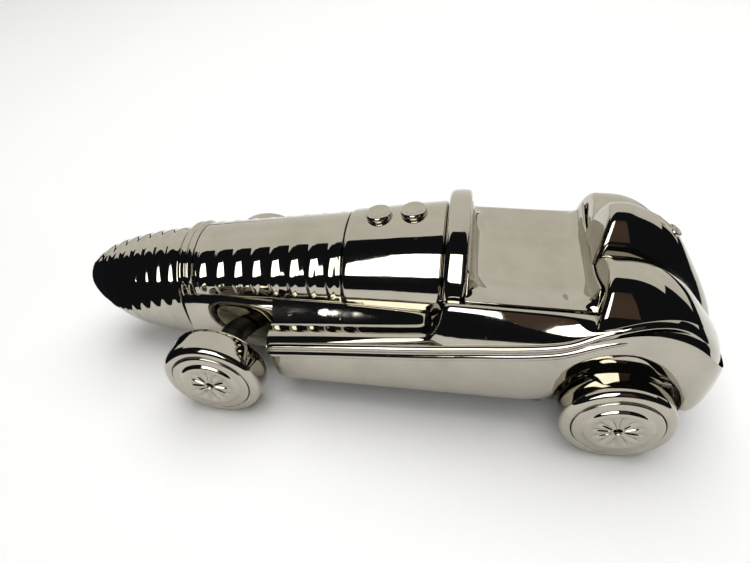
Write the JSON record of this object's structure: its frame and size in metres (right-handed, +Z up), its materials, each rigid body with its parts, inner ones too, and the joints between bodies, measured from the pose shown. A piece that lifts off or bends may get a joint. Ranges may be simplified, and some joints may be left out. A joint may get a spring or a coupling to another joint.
{
  "type": "diecast model racing car",
  "caption": "Long-bonnet vintage single-seat racing car in dark mirror plating, with louvred bonnet, open cockpit, finned tail and freely spinning wheelsets.",
  "frame": {"origin": "on the ground under the middle of the car's length, in its plane of symmetry", "axes": "nose towards -X, tail towards +X, +Y the car's right side, +Z up"},
  "size_m": [0.26, 0.0934, 0.0843],
  "materials": {
    "dark_plating": "dark warm nickel mirror plating on a smoothly polished casting",
    "tyre_plating": "the same dark mirror plating, a little less even on the tread",
    "plain_casting": "dark plated casting left as cast, satin",
    "bright_steel": "turned steel",
    "bearing_brass": "turned brass"
  },
  "bodies": {
    "chassis": {"nose_cowl": "dark_plating", "bonnet_band": "dark_plating", "bonnet": "dark_plating", "scuttle": "dark_plating", "scuttle_filler_caps": "dark_plating", "cowl_hoop": "dark_plating", "body_shell": "dark_plating", "body_skirt": "dark_plating", "cockpit_seat": "dark_plating", "headrest_fairing": "dark_plating", "tail_filler_caps": "dark_plating", "waist_moulding_left": "dark_plating", "waist_moulding_right": "dark_plating", "base_pan": "plain_casting", "base_screws": "bright_steel", "front_axle_beam": "plain_casting", "rear_axle_beam": "plain_casting", "front_bushes": "bearing_brass", "rear_bushes": "bearing_brass"},
    "front_wheelset": {"front_axle": "bright_steel", "front_left_tyre": "tyre_plating", "front_left_wheel_disc": "dark_plating", "front_right_tyre": "tyre_plating", "front_right_wheel_disc": "dark_plating"},
    "rear_wheelset": {"rear_axle": "bright_steel", "rear_left_tyre": "tyre_plating", "rear_left_wheel_disc": "dark_plating", "rear_right_tyre": "tyre_plating", "rear_right_wheel_disc": "dark_plating"}
  },
  "joints": [
    {"name": "front_wheels_spin", "type": "hinge", "parent": "chassis", "child": "front_wheelset", "pos_m": [-0.0605, 0, 0.02], "axis": [0, 1, 0], "continuous": true},
    {"name": "rear_wheels_spin", "type": "hinge", "parent": "chassis", "child": "rear_wheelset", "pos_m": [0.0925, 0, 0.02], "axis": [0, 1, 0], "continuous": true}
  ]
}
